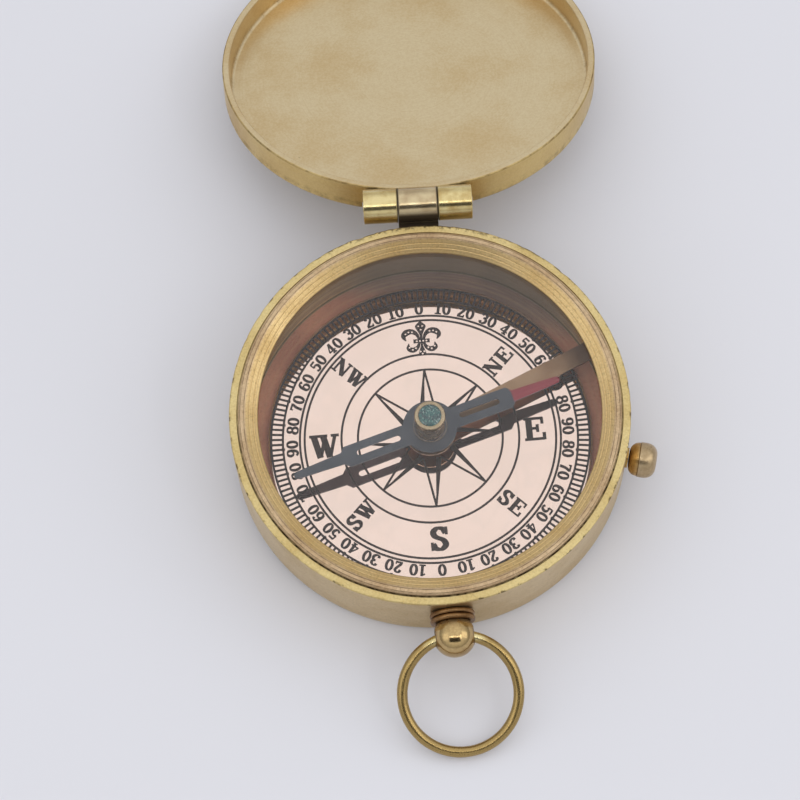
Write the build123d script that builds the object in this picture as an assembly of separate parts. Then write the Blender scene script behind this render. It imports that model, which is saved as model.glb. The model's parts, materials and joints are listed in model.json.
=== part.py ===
"""Brass pocket compass: lidded drum case, mirror dial, bar needle, needle lock and carrying ring.

Frame: millimetres, origin at the middle of the case's flat base, +Z up along the dial's axis,
+Y towards the lid hinge. The lid is modelled as it stands open, folded back past the flat.
"""
import math
import os

from build123d import *

# Fits
press_clearance = 0.02
running_clearance = 0.05
overrun = 1.0

# Case: a turned cup whose thick wall ends in a flat ledge
case_radius = 35.0
case_wall = 2.5
floor_thickness = 1.3
ledge_height = 16.7
base_edge_round = 2.2
ledge_edge_round = 0.25

# Dial: thin polished plate lying on the case floor
dial_margin = 3.45
dial_thickness = 0.8

# Bezel ring, its glass and the ring that keeps the glass in
collar_overhang = 0.9
collar_rise = 0.6
collar_edge = 0.2
crest_width = 0.95
lip_width = 1.42
lip_edge = 0.15
bezel_spigot = 3.6
bezel_wall = 1.05
glass_thickness = 0.8
glass_sink = 0.9
retainer_width = 0.8
retainer_height = 0.8
retainer_gap = 2.0

# Needle and its bearing
needle_azimuth = 18.0
needle_height = 6.0
blade_thickness = 0.4
needle_north_length = 24.6
needle_south_length = 25.6
needle_arm_width = 3.9
needle_waist_width = 2.1
needle_tip_width = 1.3
needle_slot_width = 1.1
needle_hub_radius = 4.8
shoulder_share = 0.61
slot_root_gap = 0.8
slot_end_gap = 1.8
cap_radius = 2.75
cap_glass_gap = 0.6
spigot_wall = 0.425
cap_edge_round = 0.3
cap_bore_radius = 1.3
jewel_radius = 2.0
jewel_thickness = 1.2
jewel_proud = 0.2
jewel_crown = 0.35
collar_ring_wall = 0.7
hub_gap = 0.3

# Pivot: steel point in a brass seat driven through the dial into the floor
pivot_radius = 0.5
pivot_point_length = 1.4
pivot_point_radius = 0.08
pivot_depth = 2.6
seat_shank_radius = 1.5
seat_shank_depth = 0.8
seat_flange_radius = 2.6
seat_flange_height = 0.8
seat_boss_radius = 1.3
seat_boss_height = 1.4

# Needle lock: lever, its bracket and pin, and the pull knob
lever_azimuth = 25.0
lever_height = 3.1
lever_thickness = 0.6
lever_width = 3.3
lever_eye_radius = 4.5
lever_eye_bore = 1.9
lever_lift = 0.5
lever_pin_inset = 0.5
lever_pin_radius = 0.3
lever_knuckle_radius = 0.65
lever_side_gap = 0.15
bracket_ear = 0.7
bracket_back = 0.4
bracket_height = 1.5
groove_skin = 0.8
groove_margin = 0.5
tail_inset = 0.25
tail_thickness = 1.0
tail_height = 0.8
tail_overlap_angle = 4.0
groove_end_angle = 6.0
lock_azimuth = -12.5
lock_height = 5.5
lock_travel = 1.2
stem_radius = 0.8
stem_cone_length = 1.5
stem_lead = 0.25
bush_radius = 1.8
bush_flange = 0.35
knob_radius = 3.1
knob_length = 4.9
knob_gap = 0.1
knob_inner_round = 1.7
knob_outer_round = 1.9
knob_socket_depth = 2.6

# Lid: a flat cup that slips over the bezel collar
lid_depth = 6.0
lid_top_thickness = 1.2
lid_collar_gap = 0.3
lid_seat_gap = 0.1
lid_edge_round = 0.8
lid_mouth_round = 0.3
lid_open_angle = 201.5

# Hinge: one case knuckle between two lid knuckles
hinge_offset = 4.1
barrel_radius = 3.1
case_knuckle_length = 7.1
lid_knuckle_length = 6.1
knuckle_gap = 0.06
leaf_bite = 0.5
leaf_height = 4.8
hinge_pin_radius = 0.9
pin_head_length = 0.12

# Pendant and carrying ring
pendant_azimuth = -87.0
pendant_height = 11.3
pendant_shank_radius = 1.5
pendant_ball_radius = 3.6
pendant_ball_reach = 4.5
pendant_collar_radius = 3.9
pendant_collar_thickness = 0.9
pendant_collar_round = 0.4
pendant_joint_gap = 0.05
bow_wire_radius = 0.95
bow_radius = 10.0
bow_clearance = 0.15
bow_droop = 20.5

# Places that follow from the sizes above
bore_radius = case_radius - case_wall
dial_radius = bore_radius - dial_margin
collar_radius = bore_radius + collar_overhang
glass_radius = bore_radius - bezel_wall - running_clearance
lip_radius = glass_radius - lip_width
dial_top = floor_thickness + dial_thickness
glass_top = ledge_height - glass_sink
glass_bottom = glass_top - glass_thickness
blade_bottom = dial_top + needle_height - blade_thickness / 2
blade_top = blade_bottom + blade_thickness
lever_bottom = dial_top + lever_height
lever_top = lever_bottom + lever_thickness
lever_middle = (lever_bottom + lever_top) / 2
hub_bottom = lever_top + hub_gap
cap_top = glass_bottom - cap_glass_gap - jewel_proud
jewel_bottom = cap_top + jewel_proud - jewel_thickness
spigot_radius = cap_bore_radius + spigot_wall
groove_radius = case_radius - groove_skin
lever_pin_reach = bore_radius + lever_pin_inset
tail_reach = bore_radius + tail_inset
lock_level = dial_top + lock_height
tail_arm = lever_pin_reach - tail_reach * math.cos(math.radians(lever_azimuth - lock_azimuth))
tail_rise = lever_lift * tail_arm / lever_pin_reach
stem_slope = tail_rise / lock_travel
tail_bottom = lock_level + stem_radius + stem_slope * stem_lead + running_clearance
tail_top = tail_bottom + tail_height
bush_face = case_radius + bush_flange
knob_face = bush_face + knob_gap
lid_radius = case_radius
lid_inner_radius = collar_radius + lid_collar_gap
hinge_y = case_radius + hinge_offset
hinge_z = ledge_height
pendant_ball_centre = case_radius + pendant_ball_reach
bow_sag = bow_radius - math.sqrt(bow_radius**2 - pendant_ball_radius**2)
bow_bore_radius = bow_wire_radius + bow_sag / 2 + bow_clearance


def turned(outline):
    """Solid of revolution about Z of a closed outline of (radius, height) points."""
    rim = Polyline(*[(radius, 0, height) for radius, height in outline], close=True)
    return revolve(make_face(rim), Axis.Z)


def swept_sector(inner, outer, bottom, top, start_angle, end_angle):
    """Block between two radii and two heights, swept about Z from one azimuth to another."""
    rim = Polyline((inner, 0, bottom), (outer, 0, bottom), (outer, 0, top), (inner, 0, top), close=True)
    return Rot(0, 0, start_angle) * revolve(make_face(rim), Axis.Z, end_angle - start_angle)


def radial(azimuth, height):
    """Plane whose Z runs straight out from the case's axis at an azimuth and a height."""
    turn = math.radians(azimuth)
    out = (math.cos(turn), math.sin(turn), 0)
    along = (-math.sin(turn), math.cos(turn), 0)
    return Plane(origin=(0, 0, height), x_dir=along, z_dir=out)


def rod(radius, start, end):
    """Cylinder along Z between two heights."""
    return Pos(0, 0, (start + end) / 2) * Cylinder(radius, end - start)


def block(x_span, y_span, z_span):
    """Box between two places on each axis."""
    spans = (x_span, y_span, z_span)
    middle = [(low + high) / 2 for low, high in spans]
    return Pos(*middle) * Box(*[high - low for low, high in spans])


def hinge_rod(radius, start, end):
    """Cylinder along the hinge's axis, between two places along X."""
    axis = Plane(origin=(0, hinge_y, hinge_z), x_dir=(0, 1, 0), z_dir=(1, 0, 0))
    return axis * rod(radius, start, end)


def case_body():
    cup = turned([
        (0, 0),
        (case_radius, 0),
        (case_radius, ledge_height),
        (bore_radius, ledge_height),
        (bore_radius, floor_thickness),
        (0, floor_thickness),
    ])
    cup = fillet(cup.edges().group_by(Axis.Z)[0], base_edge_round)
    outer_edge = cup.edges().group_by(Axis.Z)[-1].sort_by(SortBy.LENGTH)[-1]
    cup = fillet(outer_edge, ledge_edge_round)
    seat_hole = rod(
        seat_shank_radius + press_clearance, floor_thickness - seat_shank_depth, floor_thickness + overrun
    )
    lever_groove = swept_sector(
        bore_radius - overrun,
        groove_radius,
        lever_middle - bracket_height / 2,
        tail_top + groove_margin,
        lock_azimuth - groove_end_angle,
        lever_azimuth + groove_end_angle,
    )
    bush_hole = radial(lock_azimuth, lock_level) * rod(
        bush_radius + press_clearance, bore_radius, case_radius + overrun
    )
    shank_hole = radial(pendant_azimuth, pendant_height) * rod(
        pendant_shank_radius + press_clearance, bore_radius - overrun, case_radius + overrun
    )
    return cup - seat_hole - lever_groove - bush_hole - shank_hole


def dial_plate():
    plate = rod(dial_radius, floor_thickness, dial_top)
    return plate - rod(seat_shank_radius + press_clearance, floor_thickness - overrun, dial_top + overrun)


def bezel_ring():
    pocket = glass_radius + running_clearance
    crest = ledge_height + collar_rise
    return turned([
        (pocket, ledge_height - bezel_spigot),
        (bore_radius - press_clearance, ledge_height - bezel_spigot),
        (bore_radius - press_clearance, ledge_height),
        (collar_radius, ledge_height),
        (collar_radius, crest - collar_edge),
        (collar_radius - collar_edge, crest),
        (collar_radius - collar_edge - crest_width, crest),
        (lip_radius, glass_top + lip_edge),
        (lip_radius, glass_top),
        (pocket, glass_top),
    ])


def glass():
    return rod(glass_radius, glass_bottom, glass_top)


def glass_retainer():
    foot = glass_bottom - retainer_height
    ring = rod(glass_radius, foot, glass_bottom)
    ring -= rod(glass_radius - retainer_width, foot - overrun, glass_bottom + overrun)
    split = block(
        (-glass_radius - overrun, -glass_radius + retainer_width + overrun),
        (-retainer_gap / 2, retainer_gap / 2),
        (foot - overrun, glass_bottom + overrun),
    )
    return ring - split


def pivot_seat():
    flange_top = dial_top + seat_flange_height
    seat = rod(seat_shank_radius, floor_thickness - seat_shank_depth, dial_top)
    seat += rod(seat_flange_radius, dial_top, flange_top)
    seat += rod(seat_boss_radius, flange_top, flange_top + seat_boss_height)
    boss_top = flange_top + seat_boss_height
    return seat - rod(pivot_radius + press_clearance, boss_top - pivot_depth, boss_top + overrun)


def pivot_pin():
    foot = dial_top + seat_flange_height + seat_boss_height - pivot_depth
    tip = jewel_bottom - running_clearance
    return turned([
        (0, foot),
        (pivot_radius, foot),
        (pivot_radius, tip - pivot_point_length),
        (pivot_point_radius, tip),
        (0, tip),
    ])


def needle_arm(length):
    """Flat outline of one arm along +X: parallel bar with a slot, shoulder, then a taper to a round tip."""
    shoulder = shoulder_share * length
    waist = shoulder + (needle_arm_width - needle_waist_width) / 2
    tip = length - needle_tip_width / 2
    bar = make_face(Polyline(
        (0, -needle_arm_width / 2),
        (shoulder, -needle_arm_width / 2),
        (waist, -needle_waist_width / 2),
        (tip, -needle_tip_width / 2),
        (tip, needle_tip_width / 2),
        (waist, needle_waist_width / 2),
        (shoulder, needle_arm_width / 2),
        (0, needle_arm_width / 2),
        close=True,
    ))
    slot_start = needle_hub_radius + slot_root_gap
    slot_end = shoulder - slot_end_gap
    slot = Pos((slot_start + slot_end) / 2, 0) * SlotOverall(slot_end - slot_start, needle_slot_width)
    return bar + Pos(tip, 0) * Circle(needle_tip_width / 2) - slot


def needle_blade():
    outline = needle_arm(needle_north_length) + Rot(0, 0, 180) * needle_arm(needle_south_length)
    outline = outline + Circle(needle_hub_radius) - Circle(spigot_radius + press_clearance)
    return Pos(0, 0, blade_bottom) * Rot(0, 0, needle_azimuth) * extrude(outline, blade_thickness)


def needle_cap():
    cap = rod(cap_radius, blade_top, cap_top)
    cap = fillet(cap.edges().group_by(Axis.Z)[-1], cap_edge_round)
    cap += rod(spigot_radius, hub_bottom, blade_top)
    cap -= rod(cap_bore_radius, hub_bottom - overrun, jewel_bottom + overrun)
    return cap - rod(jewel_radius + press_clearance, jewel_bottom, cap_top + overrun)


def cap_jewel():
    top = cap_top + jewel_proud
    stone = rod(jewel_radius, jewel_bottom, top)
    return chamfer(stone.edges().group_by(Axis.Z)[-1], jewel_proud, jewel_crown)


def needle_collar():
    ring = rod(spigot_radius + press_clearance + collar_ring_wall, hub_bottom, blade_bottom)
    return ring - rod(spigot_radius + press_clearance, hub_bottom - overrun, blade_bottom + overrun)


def lifter_lever():
    strip = block((0, lever_pin_reach), (-lever_width / 2, lever_width / 2), (lever_bottom, lever_top))
    strip += rod(lever_eye_radius, lever_bottom, lever_top)
    strip -= rod(lever_eye_bore, lever_bottom - overrun, lever_top + overrun)
    across = Plane(origin=(lever_pin_reach, 0, lever_middle), x_dir=(1, 0, 0), z_dir=(0, 1, 0))
    strip += across * rod(lever_knuckle_radius, -lever_width / 2, lever_width / 2)
    riser_half = math.degrees(lever_width / 2 / tail_reach)
    riser_top = tail_top - tail_height / 2
    tail_outer = tail_reach + tail_thickness
    strip += swept_sector(tail_reach, tail_outer, lever_middle, riser_top, -riser_half, riser_half)
    tail_end = lock_azimuth - lever_azimuth - tail_overlap_angle
    strip += swept_sector(tail_reach, tail_outer, tail_bottom, tail_top, tail_end, riser_half)
    bore = lever_pin_radius + running_clearance
    strip -= across * rod(bore, -lever_width, lever_width)
    return Rot(0, 0, lever_azimuth) * strip


def lever_bracket():
    inside = lever_width / 2 + lever_side_gap
    outside = inside + bracket_ear
    low = lever_middle - bracket_height / 2
    high = lever_middle + bracket_height / 2
    back = groove_radius - bracket_back
    saddle = block((lever_pin_reach - lever_knuckle_radius, groove_radius), (-outside, outside), (low, high))
    saddle &= rod(groove_radius - press_clearance, low - overrun, high + overrun)
    gap = block((0, groove_radius), (-inside, inside), (low - overrun, high + overrun))
    saddle -= gap & rod(back, low - overrun, high + overrun)
    across = Plane(origin=(lever_pin_reach, 0, lever_middle), x_dir=(1, 0, 0), z_dir=(0, 1, 0))
    saddle -= across * rod(lever_pin_radius + press_clearance, -outside - overrun, outside + overrun)
    return Rot(0, 0, lever_azimuth) * saddle


def lever_pin():
    half = lever_width / 2 + lever_side_gap + bracket_ear
    across = Plane(origin=(lever_pin_reach, 0, lever_middle), x_dir=(1, 0, 0), z_dir=(0, 1, 0))
    return Rot(0, 0, lever_azimuth) * (across * rod(lever_pin_radius, -half, half))


def lock_bush():
    sleeve = rod(bush_radius, groove_radius, bush_face)
    sleeve -= rod(stem_radius + running_clearance, groove_radius - overrun, bush_face + overrun)
    return radial(lock_azimuth, lock_level) * sleeve


def lock_stem():
    cone_start = tail_reach + stem_lead
    cone_end = cone_start - stem_cone_length
    stem = turned([
        (0, cone_end),
        (stem_radius + stem_slope * stem_cone_length, cone_end),
        (stem_radius, cone_start),
        (stem_radius, knob_face + knob_socket_depth),
        (0, knob_face + knob_socket_depth),
    ])
    return radial(lock_azimuth, lock_level) * stem


def lock_knob():
    bead = rod(knob_radius, knob_face, knob_face + knob_length)
    bead = fillet(bead.edges().group_by(Axis.Z)[0], knob_inner_round)
    bead = fillet(bead.edges().group_by(Axis.Z)[-1], knob_outer_round)
    bead -= rod(stem_radius + press_clearance, knob_face - overrun, knob_face + knob_socket_depth)
    return radial(lock_azimuth, lock_level) * bead


def opened(shape):
    """Turn a lid piece from shut to where the lid stands open."""
    return shape.rotate(Axis((0, hinge_y, hinge_z), (1, 0, 0)), -lid_open_angle)


def lid_shell():
    mouth = ledge_height + lid_seat_gap
    top = ledge_height + lid_depth
    cup = turned([
        (0, top - lid_top_thickness),
        (lid_inner_radius, top - lid_top_thickness),
        (lid_inner_radius, mouth),
        (lid_radius, mouth),
        (lid_radius, top),
        (0, top),
    ])
    cup = fillet(cup.edges().group_by(Axis.Z)[-1], lid_edge_round)
    cup = fillet(cup.edges().group_by(Axis.Z)[0], lid_mouth_round)
    return opened(cup)


def knuckle(start, end, leaf_low, leaf_high, wall_radius):
    """Hinge barrel between two places along X, with the leaf that lies on the drum's wall."""
    leaf = block((start, end), (0, hinge_y - barrel_radius + leaf_bite), (leaf_low, leaf_high))
    leaf -= rod(wall_radius + press_clearance, leaf_low - overrun, leaf_high + overrun)
    piece = hinge_rod(barrel_radius, start, end) + leaf
    return piece - hinge_rod(hinge_pin_radius + running_clearance, start - overrun, end + overrun)


def case_hinge_leaf():
    half = case_knuckle_length / 2
    return knuckle(-half, half, hinge_z - leaf_height, hinge_z, case_radius)


def lid_knuckle(side):
    near = case_knuckle_length / 2 + knuckle_gap
    far = near + lid_knuckle_length
    start, end = sorted((side * near, side * far))
    return opened(knuckle(start, end, hinge_z, hinge_z + leaf_height, lid_radius))


def hinge_pin():
    half = case_knuckle_length / 2 + knuckle_gap + lid_knuckle_length + pin_head_length
    return hinge_rod(hinge_pin_radius, -half, half)


def pendant_collar(place):
    start = case_radius + pendant_joint_gap + place * (pendant_collar_thickness + pendant_joint_gap)
    end = start + pendant_collar_thickness
    ring = rod(pendant_collar_radius, start, end)
    ring = fillet(ring.edges(), pendant_collar_round)
    ring -= rod(pendant_shank_radius + press_clearance, start - overrun, end + overrun)
    return radial(pendant_azimuth, pendant_height) * ring


def pendant_ball():
    neck = case_radius + pendant_joint_gap + 2 * (pendant_collar_thickness + pendant_joint_gap)
    ball = rod(pendant_ball_radius, neck, pendant_ball_centre)
    ball += Pos(0, 0, pendant_ball_centre) * Sphere(pendant_ball_radius)
    ball -= rod(pendant_ball_radius + overrun, neck - pendant_ball_radius - overrun, neck)
    ball += rod(pendant_shank_radius, bore_radius, neck)
    across = Plane(origin=(0, 0, pendant_ball_centre), x_dir=(0, 1, 0), z_dir=(1, 0, 0))
    ball -= across * rod(bow_bore_radius, -pendant_ball_radius - overrun, pendant_ball_radius + overrun)
    return radial(pendant_azimuth, pendant_height) * ball


def bow_ring():
    ring = Pos(0, bow_sag / 2 - bow_radius, 0) * Torus(bow_radius, bow_wire_radius)
    ring = Rot(bow_droop, 0, 0) * ring
    ring = Pos(0, -pendant_ball_centre, pendant_height) * ring
    straight_ahead = -90
    return Rot(0, 0, pendant_azimuth - straight_ahead) * ring


NODES = {
    "case_body": case_body(),
    "dial_plate": dial_plate(),
    "bezel_ring": bezel_ring(),
    "glass": glass(),
    "glass_retainer": glass_retainer(),
    "pivot_seat": pivot_seat(),
    "pivot_pin": pivot_pin(),
    "needle_blade": needle_blade(),
    "needle_cap": needle_cap(),
    "needle_collar": needle_collar(),
    "cap_jewel": cap_jewel(),
    "lifter_lever": lifter_lever(),
    "lever_bracket": lever_bracket(),
    "lever_pin": lever_pin(),
    "lock_bush": lock_bush(),
    "lock_stem": lock_stem(),
    "lock_knob": lock_knob(),
    "lid_shell": lid_shell(),
    "lid_knuckle_left": lid_knuckle(-1),
    "lid_knuckle_right": lid_knuckle(1),
    "case_hinge_leaf": case_hinge_leaf(),
    "hinge_pin": hinge_pin(),
    "pendant_collar_inner": pendant_collar(0),
    "pendant_collar_outer": pendant_collar(1),
    "pendant_ball": pendant_ball(),
    "bow_ring": bow_ring(),
}

os.makedirs("parts", exist_ok=True)
for name, solid in NODES.items():
    export_step(solid, f"parts/{name}.step")
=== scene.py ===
"""Brass pocket compass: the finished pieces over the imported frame, in the order they are put together."""
import json
import math

import bpy
import numpy as np
from mathutils import Matrix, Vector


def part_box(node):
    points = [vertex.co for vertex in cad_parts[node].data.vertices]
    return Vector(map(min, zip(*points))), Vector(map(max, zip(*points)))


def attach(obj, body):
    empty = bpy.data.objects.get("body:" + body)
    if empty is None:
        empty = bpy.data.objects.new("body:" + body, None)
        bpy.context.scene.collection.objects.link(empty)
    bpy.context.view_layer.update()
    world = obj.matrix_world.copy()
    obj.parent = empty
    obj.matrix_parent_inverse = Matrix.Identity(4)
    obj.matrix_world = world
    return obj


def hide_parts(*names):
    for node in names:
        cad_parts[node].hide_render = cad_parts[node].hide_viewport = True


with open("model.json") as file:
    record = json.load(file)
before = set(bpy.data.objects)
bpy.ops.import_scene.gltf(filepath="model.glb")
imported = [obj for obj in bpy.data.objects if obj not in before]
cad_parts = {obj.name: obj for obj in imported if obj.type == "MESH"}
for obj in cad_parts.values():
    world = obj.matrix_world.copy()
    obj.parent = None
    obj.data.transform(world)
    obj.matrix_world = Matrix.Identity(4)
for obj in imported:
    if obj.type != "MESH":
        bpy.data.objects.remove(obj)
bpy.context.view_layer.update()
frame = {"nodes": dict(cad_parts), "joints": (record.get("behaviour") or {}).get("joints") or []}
joints = {joint["name"]: joint for joint in frame["joints"]}

# The case is a cup turned from thick brass, bored out for the dial and faced to a flat ledge for the lid.
# Handling has rubbed its wall pale. The ledge is yellow, and its sharp outer edge is nicked and stained.
# A groove milled in the bore hides the tail of the needle lock.
MM = 0.001


def limits(node):
    """Low and high corner of a CAD node's box, in millimetres."""
    return np.array(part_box(node)) / MM


case_radius = round(limits("case_body")[1, 0], 2)
ledge_height = round(limits("case_body")[1, 2], 2)
floor_height = round(limits("dial_plate")[0, 2], 2)
case_wall = 2.5
bore_radius = case_radius - case_wall
base_round = 2.2
ledge_round = 0.25
groove_skin = 0.8
groove_headroom = 0.5
groove_low = limits("lever_bracket")[0, 2]
groove_high = limits("lifter_lever")[1, 2] + groove_headroom
groove_angles = np.radians((-18.5, 31.0))
groove_lip = 0.02
nick_count = 90
nick_reach = 0.3
nick_depths = (0.02, 0.13)
nick_half_turns = (0.004, 0.016)
nick_hinge_spread = 0.5
nick_drop_share = 0.6
collar_radius = limits("bezel_ring")[1, 0]
copper_radius = 32.1
# Bearing and reach of the painted shade on the far side of the bore.
far_shade_turn = math.radians(75)
far_shade_span = (22.0, 30.0)
lip_shade_span = (8.0, 13.5)
relief_width = 0.22
relief_depth = 0.22
relief_undercut = 0.1
relief_rounds = (0.08, 0.05)
case_steps = 400


def tint(red, green, blue):
    """Colour of 0 to 255 display values, as the linear numbers that shaders take."""
    shown = np.array((red, green, blue)) / 255
    linear = np.where(shown > 0.04045, ((shown + 0.055) / 1.055) ** 2.4, shown / 12.92)
    return (*linear.tolist(), 1.0)


def rounded(corners, closed=False, arc_steps=7, run_steps=9):
    """Outline through (radius, height, round) corners. Each corner becomes the arc of its round, and each
    straight run gets points that crowd towards its ends as a cosine does."""
    corners = np.asarray(corners, float)
    spots = corners[:, :2]
    share = np.linspace(0, 1, arc_steps)[:, None]
    arcs = []
    for k, fillet in enumerate(corners[:, 2]):
        if fillet == 0:
            arcs.append(spots[k : k + 1])
            continue
        back = spots[k - 1] - spots[k]
        ahead = spots[(k + 1) % len(spots)] - spots[k]
        back, ahead = back / np.hypot(*back), ahead / np.hypot(*ahead)
        half = math.acos(np.clip(back @ ahead, -1, 1)) / 2
        middle = spots[k] + (back + ahead) / np.hypot(*(back + ahead)) * fillet / math.sin(half)
        start = spots[k] + back * fillet / math.tan(half) - middle
        end = spots[k] + ahead * fillet / math.tan(half) - middle
        sweep = math.pi - 2 * half
        swept = np.sin((1 - share) * sweep) * start + np.sin(share * sweep) * end
        arcs.append(middle + swept / math.sin(sweep))
    crowd = (1 - np.cos(np.linspace(0, math.pi, run_steps + 1)[1:-1, None])) / 2
    pieces = []
    for k, arc in enumerate(arcs):
        pieces.append(arc)
        if closed or k < len(arcs) - 1:
            onward = arcs[(k + 1) % len(arcs)][0]
            pieces.append(arc[-1] + (onward - arc[-1]) * crowd)
    return np.vstack(pieces)


def celled(points, closed_rows=False, ends=False):
    """Vertices and faces of a grid of points whose columns go round. Points that coincide become one, so a
    row of one place is a pole. With ends, the first and last rows are shut by a face. Faces look outwards."""
    rows, columns = points.shape[:2]
    spots, place = np.unique(np.round(points.reshape(-1, 3), 5), axis=0, return_inverse=True)
    index = place.reshape(rows, columns)
    shut = [index[0, ::-1], index[-1]] if ends else []
    if closed_rows:
        index = np.vstack([index, index[:1]])
    index = np.hstack([index, index[:, :1]])
    cells = np.stack([index[:-1, :-1], index[:-1, 1:], index[1:, 1:], index[1:, :-1]], -1).reshape(-1, 4)
    twice = cells == np.roll(cells, -1, axis=1)
    squares = cells[~twice.any(1)]
    single = twice.sum(1) == 1
    wedges = cells[single][~twice[single]].reshape(-1, 3)
    fans = [np.stack([np.full(len(f) - 2, f[0]), f[1:-1], f[2:]], 1) for f in shut]
    solid = np.vstack([squares[:, :3], squares[:, [0, 2, 3]], wedges, *fans])
    a, b, c = (spots[solid[:, k]] for k in range(3))
    inside_out = np.einsum("ij,ij->i", a, np.cross(b, c)).sum() < 0
    faces = [*squares.tolist(), *wedges.tolist(), *(f.tolist() for f in shut)]
    return spots, [f[::-1] for f in faces] if inside_out else faces


def piece_of(name, parts, sharp=32):
    """Object at the origin from (vertices in millimetres, faces) parts, smooth except at sharp edges."""
    starts = np.cumsum([0, *(len(spots) for spots, _ in parts)])
    faces = [[start + k for k in f] for start, (_, part) in zip(starts.tolist(), parts) for f in part]
    mesh = bpy.data.meshes.new(name)
    mesh.from_pydata((np.vstack([spots for spots, _ in parts]) * MM).tolist(), [], faces)
    mesh.validate()
    mesh.shade_smooth()
    mesh.set_sharp_from_angle(angle=math.radians(sharp))
    made = bpy.data.objects.new(name, mesh)
    bpy.context.scene.collection.objects.link(made)
    return made


def spun(outline, around=320):
    """Grid of a turned piece: each (radius, height) of the outline goes round Z in equal steps."""
    turn = np.linspace(0, 2 * math.pi, around, endpoint=False)
    radius, height = outline.T[:, :, None]
    return np.stack(np.broadcast_arrays(radius * np.cos(turn), radius * np.sin(turn), height), -1)


class Wire:
    """One output of a shader node. Sums on wires and numbers add Math nodes to the same tree."""

    def __init__(self, tree, socket):
        self.tree = tree
        self.socket = socket

    def node(self, kind, settings=None, inputs=None, output=0):
        """Adds a node: its settings first, then each socket, linked to a wire or set to a value."""
        made = self.tree.nodes.new("ShaderNode" + kind)
        for setting, value in (settings or {}).items():
            setattr(made, setting, value)
        for socket, value in (inputs or {}).items():
            if isinstance(value, Wire):
                self.tree.links.new(value.socket, made.inputs[socket])
            else:
                made.inputs[socket].default_value = value
        return Wire(self.tree, made.outputs[output] if len(made.outputs) else None)

    def also(self, output):
        """Another output of the same node."""
        return Wire(self.tree, self.socket.node.outputs[output])

    def axis(self, name):
        """X, Y or Z of this place."""
        return self.node("SeparateXYZ", {}, {0: self}, name)

    def math(self, operation, first, second):
        """Math node on two wires or numbers."""
        return self.node("Math", {"operation": operation}, {0: first, 1: second})

    def __add__(self, other):
        return self.math("ADD", self, other)

    def __radd__(self, other):
        return self.math("ADD", other, self)

    def __sub__(self, other):
        return self.math("SUBTRACT", self, other)

    def __rsub__(self, other):
        return self.math("SUBTRACT", other, self)

    def __mul__(self, other):
        return self.math("MULTIPLY", self, other)

    def __rmul__(self, other):
        return self.math("MULTIPLY", other, self)

    def __pow__(self, other):
        return self.math("POWER", self, other)

    def __abs__(self):
        return self.math("ABSOLUTE", self, 0)

    def most(self, other):
        """The larger of two wires."""
        return self.math("MAXIMUM", self, other)

    def rise(self, low, high):
        """0 below low, 1 above high, and a smooth step between. With low above high it falls instead."""
        ends = {"Value": self, "From Min": min(low, high), "From Max": max(low, high)}
        step = self.node("MapRange", {"interpolation_type": "SMOOTHSTEP"}, ends)
        return step if low < high else 1 - step

    def blend(self, first, second):
        """Mix of two colours, by this wire from 0 to 1."""
        return self.node("Mix", {"data_type": "RGBA"}, {0: self, 6: first, 7: second}, 2)

    def noise(self, per_mm, detail=3, roughness=0.5):
        """Cloudy noise from 0 to 1 on this place, with so many waves to the millimetre."""
        inputs = {"Vector": self, "Scale": per_mm, "Detail": detail, "Roughness": roughness}
        return self.node("TexNoise", {}, inputs)

    def moved(self, place, turn=(0, 0, 0), scale=(1, 1, 1)):
        """This place, seen from a piece's own middle and axes."""
        inputs = {"Vector": self, "Location": place, "Rotation": turn, "Scale": scale}
        return self.node("Mapping", {"vector_type": "TEXTURE"}, inputs)

    def bump(self, depth):
        """Normal of a surface that this height, from 0 to 1, raises by depth millimetres."""
        return self.node("Bump", {}, {"Height": self, "Distance": depth * MM})

    def surface(self, inputs):
        """Principled surface with these sockets, on the tree's output."""
        shader = self.node("BsdfPrincipled", {}, inputs)
        self.node("OutputMaterial", {}, {"Surface": shader})


def new_finish(name):
    """A material with an empty tree, and the wire of its Object coordinates in millimetres."""
    made = bpy.data.materials.new(name)
    made.use_nodes = True
    made.node_tree.nodes.clear()
    spot = Wire(made.node_tree, None).node("TexCoord", output="Object")
    return made, spot.node("VectorMath", {"operation": "SCALE"}, {0: spot, "Scale": 1 / MM})


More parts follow.
